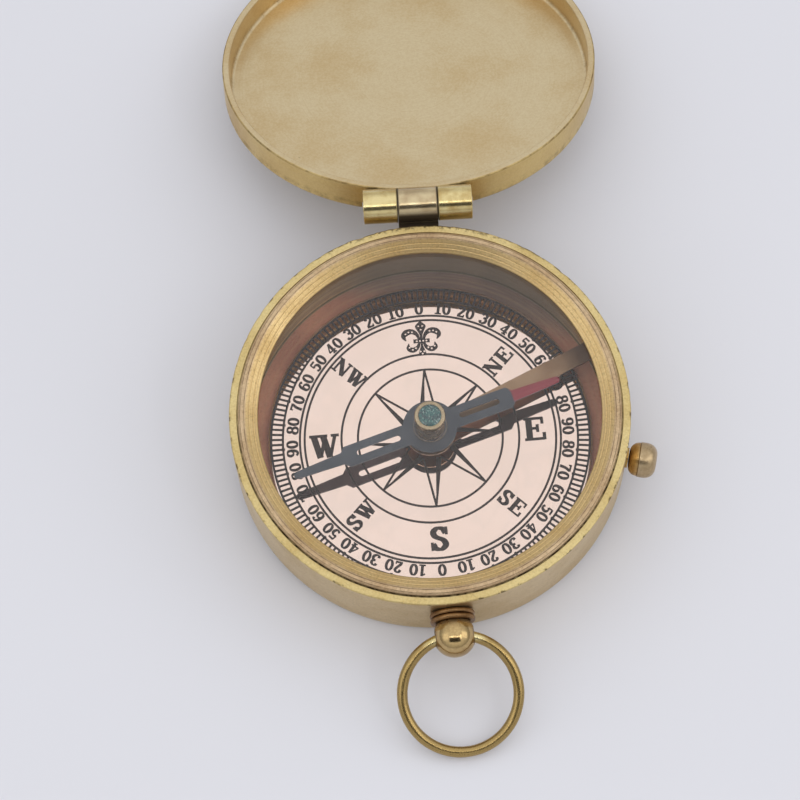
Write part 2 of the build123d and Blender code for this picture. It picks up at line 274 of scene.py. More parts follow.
def turned_brass(name, tone, deep, stain, place=(0, 0, 0), turn=(0, 0, 0), zones=(), wear_and_shade=None, dull=None,
                 gloss=0.24, ring_depth=0.010, ring_tint=0.4, fleck=0.7, pitting=0.0, cloud_size=11.0):
    """Lathe-turned brass. Fine rings come from noise on (radius, height) about the piece's axis, slow noise
    clouds one tone into another, zones tint parts of the section (on the case some zones are painted shade,
    on the knob one is a painted reflection), and flecks, pits and rubbed edges are stained, as is the
    painted shade that some pieces add in their hollows. Where dull, an oxide skin takes the mirror off."""
    made, spot = new_finish(name)
    own = spot.moved(place, turn)
    x = own.axis("X")
    y, height = x.also("Y"), x.also("Z")
    radius = (x * x + y * y) ** 0.5
    drift = own.noise(0.3, 2) * 0.2
    section = own.node("CombineXYZ", {}, {0: radius + drift, 1: height + drift})
    rings = section.noise(3.2, 6, 0.72)
    cloud = own.noise(1 / cloud_size, 5, 0.6).rise(0.36, 0.68)
    grain = own.noise(2.4, 3, 0.6).rise(0.35, 0.65)
    mottle = cloud * 0.65 + grain * 0.35
    colour = mottle.blend(tone, deep)
    for mask, zone_tone, zone_deep in zones:
        colour = mask(own, radius, height).blend(colour, mottle.blend(zone_tone, zone_deep))
    colour = (rings.rise(0.42, 0.75) * ring_tint).blend(colour, deep)
    dirt_and_shade = own.noise(1.1, 4, 0.7).rise(0.70, 0.78) * fleck
    if pitting:
        dirt_and_shade = dirt_and_shade.most(own.noise(2.8, 3, 0.8).rise(0.50, 0.68) * pitting)
    # The piece's own mask of wear is added here; on the case, bezel and ball it also carries painted shade.
    if wear_and_shade:
        dirt_and_shade = dirt_and_shade.most(wear_and_shade(own, radius, height))
    skin = dirt_and_shade
    if dull:
        skin = dirt_and_shade.most(dull(own, radius, height))
    own.surface({
        "Base Color": dirt_and_shade.blend(colour, stain),
        "Metallic": 1 - skin * 0.6,
        "Roughness": gloss + cloud * 0.08 + rings * 0.10 + skin * 0.3,
        "Normal": (rings + own.noise(0.5, 4) * 0.6).bump(ring_depth),
    })
    return made


case_outline = rounded([
    (0, 0, 0),
    (case_radius, 0, base_round),
    (case_radius, ledge_height, ledge_round),
    (collar_radius + relief_width, ledge_height, relief_rounds[0]),
    (collar_radius + relief_width, ledge_height - relief_depth, relief_rounds[1]),
    (collar_radius - relief_undercut, ledge_height - relief_depth, 0),
    (collar_radius - relief_undercut, ledge_height, 0),
    (bore_radius, ledge_height, 0),
    (bore_radius, groove_high + groove_lip, 0),
    (bore_radius, groove_high - groove_lip, 0),
    (bore_radius, groove_low + groove_lip, 0),
    (bore_radius, groove_low - groove_lip, 0),
    (bore_radius, floor_height, 0),
    (0, floor_height, 0),
])


def case_grid(outline):
    """The outline goes round Z. Its ledge corner loses a bell-shaped nick at each of many angles, and the
    bore steps out to the groove's depth between two heights and two angles."""
    lip_turn = groove_lip / bore_radius
    turn = np.sort(np.concatenate([
        np.linspace(-math.pi, math.pi, case_steps, endpoint=False),
        groove_angles - lip_turn,
        groove_angles + lip_turn,
    ]))
    chance = np.random.default_rng(11)
    middle = np.concatenate([
        chance.uniform(-math.pi, math.pi, nick_count // 2),
        chance.normal(math.pi / 2, nick_hinge_spread, nick_count - nick_count // 2),
    ])
    depth = chance.uniform(*nick_depths, nick_count)
    half = chance.uniform(*nick_half_turns, nick_count)
    apart = (turn[:, None] - middle + math.pi) % (2 * math.pi) - math.pi
    bite = (depth * np.exp(-((apart / half) ** 2))).sum(1)
    radius, height = outline.T
    near = np.exp(-(np.hypot(radius - case_radius, height - ledge_height) / nick_reach) ** 2)
    in_groove = (abs(radius - bore_radius) < groove_lip) & (height > groove_low) & (height < groove_high)
    in_sector = (turn > groove_angles[0]) & (turn < groove_angles[1])
    out = radius[:, None] - near[:, None] * bite
    out = np.where(in_groove[:, None] & in_sector, case_radius - groove_skin, out)
    up = height[:, None] - near[:, None] * bite * nick_drop_share
    return np.stack([out * np.cos(turn), out * np.sin(turn), up + 0 * turn], -1)


def ledge_zone(own, radius, height):
    """The flat ledge, by height."""
    return height.rise(ledge_height - 0.35, ledge_height - 0.1)


def bore_zone(own, radius, height):
    """All that lies inside the bore, by radius."""
    return radius.rise(bore_radius + 0.35, bore_radius + 0.1)


def streak_zone(own, radius, height):
    """Level streaks of oxide in the bore, from noise on the height alone."""
    return bore_zone(own, radius, height) * height.noise(0.8, 4, 0.7).rise(0.42, 0.62)


def base_zone(own, radius, height):
    """The coppery floor beside the dial."""
    inside = radius.rise(copper_radius + 0.2, copper_radius)
    return inside * height.rise(floor_height - 0.3, floor_height - 0.1)


def tarnish_zone(own, radius, height):
    """Painted shade on the far side of the bore, by the distance along a bearing a little right of the hinge.
    """
    along = own.moved((0, 0, 0), (0, 0, far_shade_turn)).axis("X")
    return bore_zone(own, radius, height) * along.rise(*far_shade_span)


def dim_base_zone(own, radius, height):
    """Painted shade on the floor beside the dial, on the far side where the bore is painted darker."""
    return base_zone(own, radius, height) * tarnish_zone(own, radius, height)


def case_wear(own, radius, height):
    """Dark where the ledge's outer edge is chipped; grime and painted shade in the relief groove beside the
    collar, heavier at the front; dark in the corner of the floor; and painted shade faintly high in the bore."""
    edge = radius.rise(case_radius - 0.45, case_radius - 0.1)
    edge = edge * height.rise(ledge_height - 0.5, ledge_height - 0.15)
    relief_radius = collar_radius + relief_width
    relief = radius.rise(relief_radius + 0.1, relief_radius - 0.05)
    relief = relief * radius.rise(bore_radius + 0.2, bore_radius + 0.4)
    patches = own.noise(0.55, 4, 0.7)
    away = own.axis("Y")
    front = away.rise(8, -16) * 0.55 + 0.15
    chips = edge * (patches + away.rise(18, 33) * 0.1).rise(0.54, 0.62) * 0.85
    spread = away.rise(24, 34) * radius.rise(case_radius - 1.0, case_radius - 0.3)
    spread = spread * ledge_zone(own, radius, height)
    chips = chips.most(spread * own.noise(1.3, 4, 0.75).rise(0.5, 0.6) * 0.8)
    inside = radius.rise(bore_radius + 0.3, bore_radius + 0.1)
    # Painted shade high in the bore, under the bezel's lip.
    under_lip_shade = inside * height.rise(*lip_shade_span) * (0.15 + patches.rise(0.3, 0.7) * 0.3)
    foot = inside * radius.rise(bore_radius - 0.3, bore_radius - 0.15)
    foot = foot * height.rise(floor_height + 0.4, floor_height + 0.2) * 0.6
    # Grime and painted shade in the relief groove, heavier towards the front of the case.
    dirt_and_shade = chips.most(relief * front * (0.5 + patches.rise(0.35, 0.6)))
    return dirt_and_shade.most(under_lip_shade).most(foot)


case = piece_of("case_shell", [celled(case_grid(case_outline))])
case.data.materials.append(turned_brass(
    "case_brass",
    tint(218, 196, 154),
    tint(200, 174, 126),
    tint(70, 52, 22),
    zones=[
        (ledge_zone, tint(222, 202, 146), tint(198, 172, 112)),
        (bore_zone, tint(204, 176, 126), tint(176, 146, 98)),
        (streak_zone, tint(158, 128, 98), tint(128, 100, 78)),
        (base_zone, tint(206, 140, 110), tint(176, 112, 88)),
        # Painted shade: the far side of the bore and the floor below it are painted darker.
        (tarnish_zone, tint(152, 131, 108), tint(132, 115, 96)),
        (dim_base_zone, tint(134, 102, 90), tint(116, 88, 78)),
    ],
    wear_and_shade=case_wear,
    dull=bore_zone,
    gloss=0.3,
    pitting=0.2,
    ring_depth=0.014,
))
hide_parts("case_body")
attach(case, "case")

# The dial is a disc of copper, polished to a mirror and lacquered, that lies on the case's floor.
# Under the light it is a pale pink, with faint buffing marks and a few specks of dust.
dial_radius = round(limits("dial_plate")[1, 0], 2)
dial_top = round(limits("dial_plate")[1, 2], 2)
dial_hole = 1.52
dial_edge_round = 0.15
dial_foot_round = 0.1
dish_depth = 0.16


def mirror_copper(name):
    """Polished copper: slow noise warms the pale pink, fine stretched noise leaves buffing marks, and rare
    specks of dust are dark and dull. The plate is a little dished, as the fourth power of the radius."""
    made, spot = new_finish(name)
    x = spot.axis("X")
    y = x.also("Y")
    dish = ((x * x + y * y) * (1 / dial_radius**2)) ** 2
    cloud = spot.noise(0.12, 3).rise(0.3, 0.7)
    marks = spot.moved((0, 0, 0), (0, 0, 0.6), (6, 0.6, 1)).noise(1.6, 4, 0.7)
    speck = spot.noise(1.7, 2).rise(0.80, 0.84)
    colour = cloud.blend(tint(246, 219, 207), tint(243, 216, 203))
    spot.surface({
        "Base Color": (speck * 0.5).blend(colour, tint(120, 90, 80)),
        "Metallic": 1.0,
        "Roughness": 0.025 + marks.rise(0.4, 0.9) * 0.05 + speck * 0.2,
        "Normal": (dish + marks * 0.003).bump(dish_depth),
    })
    return made


dial_copper = mirror_copper("dial_copper")
dial = piece_of("dial_disc", [celled(spun(rounded([
    (dial_hole, floor_height, 0),
    (dial_radius, floor_height, dial_foot_round),
    (dial_radius, dial_top, dial_edge_round),
    (dial_hole, dial_top, 0),
], closed=True)), closed_rows=True)])
dial.data.materials.append(dial_copper)
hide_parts("dial_plate")
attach(dial, "case")

# The dial's marks are screen-printed in one dark matt ink: rings, a ladder of degrees in twos, numbers from
# north and south to east and west, slab-serif letters, an eight-pointed star and a lily at north.
# The print sits a little turned on the plate.
print_turn = math.radians(1.72)
ink_height = 0.02
ink_step = 0.003
ink_root = 0.05
line_width = 0.40
ring_radii = (12.95, 15.9, 22.5, 23.35, 26.4, 28.5)
ladder_step = 2
ladder_width = 0.42
nub_length = 0.34
nub_width = 0.45
numeral_step = 10
numeral_height = 2.1
numeral_radius = 24.72
numeral_stretch = 1.15
letter_height = 4.3
letter_radius = 18.95
east_radius = 18.65
corner_letter_height = 2.85
star_step = 45
star_radius = 12.78
star_valley = 4.1
star_heel_share = 0.28
shade_steps = 12
shade_tip = 0.02
lily_height = 6.5
lily_slimness = 0.91
lily_dot = 0.17
lily_dot_steps = 12

# Pen strokes of each sign, in shares of its height: (width, sort, points). An oval has a middle and two
# half widths. Ovals and curves thin out where they run level, as a broad pen does.
PEN_THIN_SHARE = 0.13
SIGN_SHARES = {
    "0": (0.62, [(0.25, "oval", (0.31, 0.5, 0.215, 0.44))]),
    "1": (0.56, [
        (0.25, "line", [(0.3, 0.0), (0.3, 1.0)]),
        (0.14, "line", [(0.33, 0.95), (0.06, 0.80)]),
        (0.13, "line", [(0.06, 0.055), (0.54, 0.055)]),
    ]),
    "2": (0.62, [
        (0.25, "curve", [(0.12, 0.70), (0.17, 0.88), (0.32, 0.95), (0.47, 0.84), (0.46, 0.66), (0.12, 0.14)]),
        (0.17, "line", [(0.05, 0.075), (0.56, 0.075)]),
        (0.12, "line", [(0.53, 0.01), (0.53, 0.27)]),
    ]),
    "3": (0.60, [
        (0.25, "curve", [(0.10, 0.76), (0.14, 0.90), (0.30, 0.95), (0.46, 0.82), (0.43, 0.62), (0.24, 0.54)]),
        (0.26, "curve", [(0.24, 0.54), (0.46, 0.46), (0.48, 0.22), (0.30, 0.05), (0.13, 0.09), (0.09, 0.25)]),
    ]),
    "4": (0.66, [
        (0.25, "line", [(0.42, 0.0), (0.42, 1.0)]),
        (0.13, "line", [(0.41, 0.97), (0.06, 0.29)]),
        (0.14, "line", [(0.03, 0.28), (0.63, 0.28)]),
        (0.12, "line", [(0.25, 0.05), (0.59, 0.05)]),
    ]),
    "5": (0.60, [
        (0.17, "line", [(0.12, 0.92), (0.53, 0.92)]),
        (0.13, "line", [(0.14, 0.95), (0.12, 0.52)]),
        (0.26, "curve", [(0.12, 0.53), (0.30, 0.61), (0.47, 0.48), (0.47, 0.24), (0.30, 0.05), (0.09, 0.16)]),
    ]),
    "6": (0.62, [
        (0.25, "curve", [(0.51, 0.80), (0.42, 0.93), (0.27, 0.92), (0.14, 0.70), (0.11, 0.36)]),
        (0.25, "oval", (0.32, 0.30, 0.205, 0.26)),
    ]),
    "7": (0.60, [
        (0.17, "line", [(0.05, 0.92), (0.56, 0.92)]),
        (0.25, "curve", [(0.51, 0.90), (0.34, 0.52), (0.27, 0.0)]),
        (0.12, "line", [(0.08, 1.0), (0.08, 0.74)]),
    ]),
    "8": (0.62, [
        (0.24, "oval", (0.31, 0.735, 0.185, 0.215)),
        (0.25, "oval", (0.31, 0.275, 0.225, 0.235)),
    ]),
    "9": (0.62, [
        (0.25, "oval", (0.30, 0.70, 0.205, 0.26)),
        (0.25, "curve", [(0.51, 0.64), (0.48, 0.30), (0.35, 0.08), (0.26, 0.07), (0.11, 0.20)]),
    ]),
    "E": (0.92, [
        (0.27, "line", [(0.25, 0.0), (0.25, 1.0)]),
        (0.12, "line", [(0.04, 0.95), (0.84, 0.95)]),
        (0.12, "line", [(0.04, 0.05), (0.86, 0.05)]),
        (0.12, "line", [(0.30, 0.52), (0.60, 0.52)]),
        (0.13, "line", [(0.80, 1.0), (0.81, 0.70)]),
        (0.145, "line", [(0.86, 0.0), (0.86, 0.32)]),
        (0.13, "line", [(0.60, 0.69), (0.60, 0.35)]),
    ]),
    "N": (1.0, [
        (0.145, "line", [(0.17, 0.0), (0.17, 1.0)]),
        (0.28, "line", [(0.16, 0.98), (0.80, 0.02)]),
        (0.145, "line", [(0.83, 0.0), (0.83, 1.0)]),
        (0.12, "line", [(0.0, 0.95), (0.26, 0.95)]),
        (0.12, "line", [(0.0, 0.05), (0.35, 0.05)]),
        (0.12, "line", [(0.65, 0.95), (1.0, 0.95)]),
    ]),
    "S": (0.80, [
        (0.27, "curve", [
            (0.67, 0.74), (0.55, 0.91), (0.34, 0.95), (0.17, 0.80), (0.24, 0.60),
            (0.55, 0.43), (0.64, 0.22), (0.46, 0.05), (0.24, 0.09), (0.12, 0.27),
        ]),
        (0.12, "line", [(0.70, 1.0), (0.70, 0.66)]),
        (0.12, "line", [(0.09, 0.0), (0.09, 0.36)]),
    ]),
    "W": (1.24, [
        (0.27, "line", [(0.18, 0.98), (0.42, 0.0)]),
        (0.145, "line", [(0.44, 0.02), (0.62, 0.80)]),
        (0.27, "line", [(0.57, 0.98), (0.81, 0.0)]),
        (0.145, "line", [(0.83, 0.02), (1.08, 0.98)]),
        (0.12, "line", [(0.0, 0.95), (0.40, 0.95)]),
        (0.12, "line", [(0.40, 0.95), (0.76, 0.95)]),
        (0.12, "line", [(0.90, 0.95), (1.24, 0.95)]),
    ]),
}
SIGN_GAP_SHARE = 0.06

# Strokes of the lily's right half, in shares of its height: points and the ink's width at each.
LILY_SHARES = [
    ([(0, 0.44), (0, 0.6), (0, 0.74), (0, 0.86), (0, 1.0)], (0.07, 0.09, 0.22, 0.29, 0.02)),
    ([(0, 0.38), (0, 0.26), (0, 0.14), (0, 0.0)], (0.06, 0.07, 0.15, 0.22)),
]
LILY_SIDE_SHARES = [
    ([(0.06, 0.42), (0.13, 0.60), (0.28, 0.70), (0.46, 0.67), (0.54, 0.56), (0.47, 0.43)],
     (0.06, 0.10, 0.15, 0.18, 0.13, 0.02)),
    ([(0.06, 0.37), (0.14, 0.22), (0.28, 0.15), (0.41, 0.21), (0.40, 0.35)], (0.06, 0.11, 0.15, 0.13, 0.02)),
    ([(0.0, 0.405), (0.12, 0.405), (0.25, 0.405)], (0.11, 0.11, 0.12)),
]
LILY_DOT_SHARES = [
    (0.06, 0.85), (0.05, 0.405), (0.15, 0.405), (0.27, 0.685), (0.38, 0.69), (0.475, 0.64),
    (0.19, 0.2), (0.29, 0.16), (0.385, 0.23), (0.055, 0.09),
]
LILY_MIDDLE_DOT_SHARES = [(0, 0.74), (0, 0.025)]
DOT_LEVELS = ((1.0, -ink_root), (1.0, 0.045), (0.8, 0.055))


def eased(points, closed=False, span_steps=10):
    """Smooth path through points: on each span the cubic whose slopes follow the neighbouring points."""
    points = np.asarray(points, float)
    if closed:
        ring = np.vstack([points[-1:], points, points[:2]])
    else:
        ring = np.vstack([2 * points[:1] - points[1:2], points, 2 * points[-1:] - points[-2:-1]])
    share = np.linspace(0, 1, span_steps, endpoint=False)[None, :, None]
    before, start, end, after = (ring[k : len(ring) - 3 + k, None] for k in range(4))
    path = start + share / 2 * (
        end - before
        + share * (2 * before - 5 * start + 4 * end - after + share * (3 * (start - end) + after - before))
    )
    path = path.reshape(-1, points.shape[1])
    return path if closed else np.vstack([path, points[-1:]])


def ribbon(path, width, layer=0, closed=False):
    """Bar of ink along a flat path: at each point a rectangle square to the path, sunk a little into the
    plate. Later layers stand a hair higher, so that strokes can cross."""
    path = np.asarray(path, float)
    ahead = np.roll(path, -1, 0) - np.roll(path, 1, 0) if closed else np.gradient(path, axis=0)
    ahead /= np.hypot(*ahead.T)[:, None]
    side = np.stack([-ahead[:, 1], ahead[:, 0]], 1) * np.broadcast_to(width, len(path))[:, None] / 2
    foot = np.full((len(path), 1), dial_top - ink_root)
    roof = np.full((len(path), 1), dial_top + ink_height + layer * ink_step)
    corners = [(path - side, foot), (path - side, roof), (path + side, roof), (path + side, foot)]
    points = np.stack([np.hstack(corner) for corner in corners], 1)
    return celled(points, closed_rows=closed, ends=not closed)


def circle(radius, steps=240):
    """Flat points in equal steps round a circle."""
    turn = np.linspace(0, 2 * math.pi, steps, endpoint=False)
    return radius * np.stack([np.cos(turn), np.sin(turn)], 1)


def turned_flat(points, angle, centre=(0, 0)):
    """Flat points, turned by an angle and then moved."""
    cos, sin = math.cos(angle), math.sin(angle)
    return np.asarray(points, float) @ np.array([[cos, sin], [-sin, cos]]) + centre


def lettered(text, height, centre, angle, stretch=1.0):
    """Ink ribbons of a word about its centre, its baseline turned by an angle and its signs made wider."""
    advances = [SIGN_SHARES[sign][0] * stretch for sign in text]
    start = -(sum(advances) + SIGN_GAP_SHARE * (len(text) - 1)) / 2
    ribbons = []
    for sign, advance in zip(text, advances):
        for layer, (width, sort, shape) in enumerate(SIGN_SHARES[sign][1]):
            if sort == "oval":
                path = circle(1, 40) * shape[2:] + shape[:2]
            else:
                path = eased(shape) if sort == "curve" else np.asarray(shape, float)
            widths = np.full(len(path), width)
            if sort != "line":
                slope = np.gradient(path, axis=0)
                steep = abs(slope[:, 1]) / np.hypot(*slope.T)
                widths = PEN_THIN_SHARE + (width - PEN_THIN_SHARE) * steep
            spots = turned_flat((path * (stretch, 1) + (start, -0.5)) * height, angle, centre)
            ribbons.append(ribbon(spots, widths * height, layer, sort == "oval"))
        start += advance + SIGN_GAP_SHARE
    return ribbons


def on_dial(bearing, radius):
    """Place on the dial at a bearing, clockwise from the print's north."""
    turn = math.pi / 2 - math.radians(bearing) + print_turn
    return np.array([math.cos(turn), math.sin(turn)]) * radius


ring_marks = [ribbon(circle(radius), line_width, closed=True) for radius in ring_radii]
ladder_low, ladder_high = ring_radii[-2:]
ladder_marks = [
    ribbon([on_dial(bearing, ladder_low), on_dial(bearing, ladder_high)], ladder_width, 1)
    for bearing in range(0, 360, ladder_step)
]
ladder_marks += [
    ribbon([on_dial(bearing, ladder_low - nub_length), on_dial(bearing, ladder_low)], nub_width, 2)
    for bearing in range(0, 360, numeral_step)
]
numeral_marks = []
for bearing in range(0, 360, numeral_step):
    count = min(bearing % 180, 180 - bearing % 180)
    upright = print_turn - math.radians(bearing)
    centre = on_dial(bearing, numeral_radius)
    numeral_marks += lettered(str(count), numeral_height, centre, upright, numeral_stretch)
letter_marks = []
for bearing, letter, radius in ((90, "E", east_radius), (180, "S", letter_radius), (270, "W", letter_radius)):
    letter_marks += lettered(letter, letter_height, on_dial(bearing, radius), print_turn)
for bearing, word, lean in ((45, "NE", 45), (135, "SE", -45), (225, "SW", 45), (315, "NW", -45)):
    angle = print_turn + math.radians(lean)
    letter_marks += lettered(word, corner_letter_height, on_dial(bearing, letter_radius), angle)
star_marks = []
for bearing in range(0, 360, star_step):
    tip = on_dial(bearing, star_radius)
    left = on_dial(bearing - star_step / 2, star_valley)
    right = on_dial(bearing + star_step / 2, star_valley)
    heel = left * (1 - star_heel_share) + right * star_heel_share
    star_marks += [ribbon([left, tip], line_width, 1), ribbon([right, tip], line_width, 2)]
    shade = np.linspace((left + heel) / 2, tip, shade_steps)
    star_marks.append(ribbon(shade, np.linspace(np.hypot(*(left - heel)), shade_tip, shade_steps), 3))
lily_foot = ring_radii[1]


def on_lily(shares, flip=1):
    """Place on the dial of shares of the lily's height, measured from its foot."""
    spots = np.asarray(shares, float) * (flip * lily_slimness, 1) * lily_height + (0, lily_foot)
    return turned_flat(spots, print_turn)


def lily_stroke(shares, widths, layer, flip=1):
    """Ink ribbon along a smooth stroke, with its width eased from point to point as well."""
    width = eased(np.array(widths)[:, None])[:, 0] * lily_height
    return ribbon(eased(on_lily(shares, flip)), width, layer)


lily_marks = [lily_stroke(*stroke, layer) for layer, stroke in enumerate(LILY_SHARES)]
for flip in (-1, 1):
    for layer, stroke in enumerate(LILY_SIDE_SHARES):
        lily_marks.append(lily_stroke(*stroke, 2 + layer + flip, flip))
dot_spots = [on_lily([share], flip)[0] for share in LILY_DOT_SHARES for flip in (-1, 1)]
dot_spots += [on_lily([share])[0] for share in LILY_MIDDLE_DOT_SHARES]


def dot(centre):
    """Low round stud: a circle carried up from the plate, with its top a little smaller."""
    rim = circle(lily_dot, lily_dot_steps)
    rows = [np.insert(rim * share + centre, 2, dial_top + rise, axis=1) for share, rise in DOT_LEVELS]
    return celled(np.stack(rows), ends=True)


def matt_ink(name):
    """Screen ink: dark brown-black, with thin places where slow and fine noise let it look greyer."""
    made, spot = new_finish(name)
    thin = spot.noise(0.8, 4, 0.7).rise(0.35, 0.75)
    grain = spot.noise(7.0, 3, 0.7)
    spot.surface({
        "Base Color": thin.blend(tint(42, 29, 26), tint(68, 53, 49)),
        "Roughness": 0.45 + grain * 0.25,
        "Specular IOR Level": 0.15,
        "Normal": grain.bump(0.004),
    })
    return made


ink = matt_ink("dial_ink")
for name, marks in {
    "print_rings": ring_marks,
    "print_ladder": ladder_marks,
    "print_numerals": numeral_marks,
    "print_letters": letter_marks,
    "print_star": star_marks,
    "print_lily": lily_marks,
}.items():
    printed = piece_of(name, marks)
    printed.data.materials.append(ink)
    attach(printed, "case")
lily_dots = piece_of("print_lily_dots", [dot(centre) for centre in dot_spots])
lily_dots.data.materials.append(dial_copper)
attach(lily_dots, "case")

# The pivot is a hard steel point in a small brass seat that is driven through the dial into the floor.
# Both are turned small parts, bright and almost hidden under the needle's hub.


def bright_steel(name):
    """Ground steel: grey, with fine noise in its gloss and a trace of straw colour."""
    made, spot = new_finish(name)
    grind = spot.moved((0, 0, 0), scale=(1, 1, 0.2)).noise(5.0, 4, 0.7)
    spot.surface({
        "Base Color": spot.noise(0.9, 3).rise(0.3, 0.8).blend(tint(196, 196, 198), tint(178, 168, 150)),
        "Metallic": 1.0,
        "Roughness": 0.22 + grind * 0.2,
        "Normal": grind.bump(0.004),
    })
    return made


def coat(node, finish):
    """Gives a CAD node that stays in view its finish."""
    frame["nodes"][node].material_slots[0].material = finish


steel = bright_steel("bright_steel")
fitting_brass = turned_brass(
    "fitting_brass", tint(205, 178, 112), tint(178, 146, 84), tint(80, 58, 28), gloss=0.28,
)
coat("pivot_seat", fitting_brass)
coat("pivot_pin", steel)

# The needle lock is a strip of rolled brass with an eye round the pivot. It rocks on a steel pin in a small
# bracket at the wall, and its tail runs round in the groove to the cone of the pull knob's stem.
lock_axis = joints["lock_slide"]["axis"]
lock_turn = math.atan2(lock_axis[1], lock_axis[0])
lock_level = limits("lock_knob")[:, 2].mean()
lever_axis = joints["lifter_rock"]["axis"]
lever_turn = math.atan2(-lever_axis[0], lever_axis[1])
knob_radius = 3.1
knob_face = case_radius + 0.45
knob_length = 4.9
knob_waist_radius = knob_radius - 0.12
knob_rounds = (1.7, 1.9)
knob_line = knob_face + 1.75
knob_line_depth = 0.20
knob_line_half = 0.12
knob_line_rounds = (0.05, 0.03)
knob_stain_half = 0.25


def outward_axes(turn):
    """Own X, Y and Z of a piece laid down: along the wall, up, and straight out of the case at an angle."""
    along = (-math.sin(turn), math.cos(turn), 0)
    out = (math.cos(turn), math.sin(turn), 0)
    return np.array([along, (0, 0, 1), out])


def outwards(grid, turn, level):
    """A grid spun about Z, laid down on those axes at a height."""
    return grid @ outward_axes(turn) + (0, 0, level)


def laid_down(turn):
    """Those axes as an Euler turn."""
    return tuple(Matrix(outward_axes(turn).tolist()).transposed().to_euler())


def rolled_brass(name, turn):
    """Strip brass: noise drawn out along the strip leaves rolling lines, and slow noise browns it."""
    made, spot = new_finish(name)
    own = spot.moved((0, 0, 0), (0, 0, turn), (9, 1, 1))
    lines = own.noise(2.4, 5, 0.7)
    cloud = spot.noise(0.16, 4).rise(0.35, 0.7)
    spot.surface({
        "Base Color": cloud.blend(tint(156, 126, 100), tint(130, 100, 76)),
        "Metallic": 1.0,
        "Roughness": 0.28 + lines * 0.16,
        "Normal": lines.bump(0.008),
    })
    return made


coat("lifter_lever", rolled_brass("lever_brass", lever_turn))
coat("lever_bracket", fitting_brass)
coat("lock_bush", turned_brass(
    "bush_brass", tint(196, 164, 98), tint(164, 126, 66), tint(60, 42, 18),
    place=(0, 0, lock_level), turn=laid_down(lock_turn),
))
coat("lever_pin", steel)
coat("lock_stem", steel)


def neck_zone(own, radius, height):
    """Painted reflection of the case wall: orange-brown on the knob's inner half, up to the turned line."""
    return height.rise(knob_line + 0.1, knob_line - 0.1)


def knob_wear(own, radius, height):
    """A dark turned line, and a few dark scars on the bead."""
    line = height.rise(knob_line - knob_stain_half, knob_line)
    line = line * height.rise(knob_line + knob_stain_half, knob_line)
    return (line * 0.2).most(own.noise(0.9, 4, 0.7).rise(0.60, 0.70) * 0.7)


knob = piece_of("lock_bead", [celled(outwards(spun(rounded([
    (0, knob_face, 0),
    (knob_waist_radius, knob_face, knob_rounds[0]),
    (knob_waist_radius, knob_line - knob_line_half, knob_line_rounds[0]),
    (knob_radius - knob_line_depth, knob_line, knob_line_rounds[1]),
    (knob_radius, knob_line + knob_line_half, knob_line_rounds[0]),
    (knob_radius, knob_face + knob_length, knob_rounds[1]),
    (0, knob_face + knob_length, 0),
]), around=160), lock_turn, lock_level))])
knob.data.materials.append(turned_brass(
    "knob_brass", tint(194, 172, 137), tint(170, 146, 111), tint(74, 52, 26),
    place=(0, 0, lock_level), turn=laid_down(lock_turn),
    # The neck's orange-brown is a painted reflection of the case wall.
    zones=[(neck_zone, tint(206, 170, 110), tint(172, 132, 78))],
    wear_and_shade=knob_wear, gloss=0.26, cloud_size=3.0,
))
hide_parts("lock_knob")
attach(knob, "lock")

# The needle is stamped from thin sheet steel and painted slate blue, with a red north point. A brass cap is
# riveted through its hub by a collar, and a blue-green stone is set in the cap's top as a bearing.
needle_turn = math.radians(18.0)
red_start = 15.6
blade_top = limits("needle_blade")[1, 2]
cap_low, cap_high = limits("needle_cap")[:, 2]
cap_radius = 2.75
cap_stem_radius = cap_radius - 0.1
cap_spigot = 1.725
cap_bore = 1.3
cap_foot_radius = 3.05
cap_foot_top = blade_top + 0.2
cap_rim_span = (cap_high - 0.8, cap_high - 0.65)
cap_top_round = 0.28
stone_radius = limits("cap_jewel")[1, 0]
stone_low, stone_high = limits("cap_jewel")[:, 2]
stone_seat = stone_radius + 0.02
stone_shoulder = stone_high - 0.18
stone_crown = (stone_radius - 0.4, stone_high - 0.02, 0.3)
stone_edge_round = 0.1


def needle_paint(name):
    """Brushed paint: slate blue on top with red past the north shoulder, paler below, with streaks along the
    blade, a bloom and rubbed specks."""
    made, spot = new_finish(name)
    own = spot.moved((0, 0, 0), (0, 0, needle_turn))
    north = own.axis("X")
    top = north.also("Z").rise(blade_top - 0.2, blade_top - 0.1)
    streaks = spot.moved((0, 0, 0), (0, 0, needle_turn), (7, 1, 1)).noise(1.5, 4, 0.7)
    bloom = spot.noise(0.2, 4, 0.6).rise(0.35, 0.7)
    rubbed = spot.noise(1.9, 4, 0.7).rise(0.70, 0.78)
    ragged = north + streaks * 0.9
    blue = bloom.blend(tint(62, 64, 72), tint(79, 80, 88))
    under = bloom.blend(tint(98, 101, 116), tint(115, 117, 130))
    red = streaks.rise(0.3, 0.8).blend(tint(130, 38, 50), tint(152, 66, 74))
    colour = top.blend(under, ragged.rise(red_start + 0.3, red_start + 0.7).blend(blue, red))
    spot.surface({
        "Base Color": (rubbed * 0.5).blend(colour, tint(140, 134, 126)),
        "Metallic": 0.25,
        "Roughness": 0.34 + streaks * 0.2,
        "Normal": (streaks + rubbed * 0.5).bump(0.006),
    })
    return made


def rim_zone(own, radius, height):
    """The cap's rim round the stone."""
    return height.rise(cap_high - 0.75, cap_high - 0.55)


def foot_zone(own, radius, height):
    """The cap's painted foot on the blade."""
    return height.rise(cap_foot_top + 0.15, cap_foot_top)


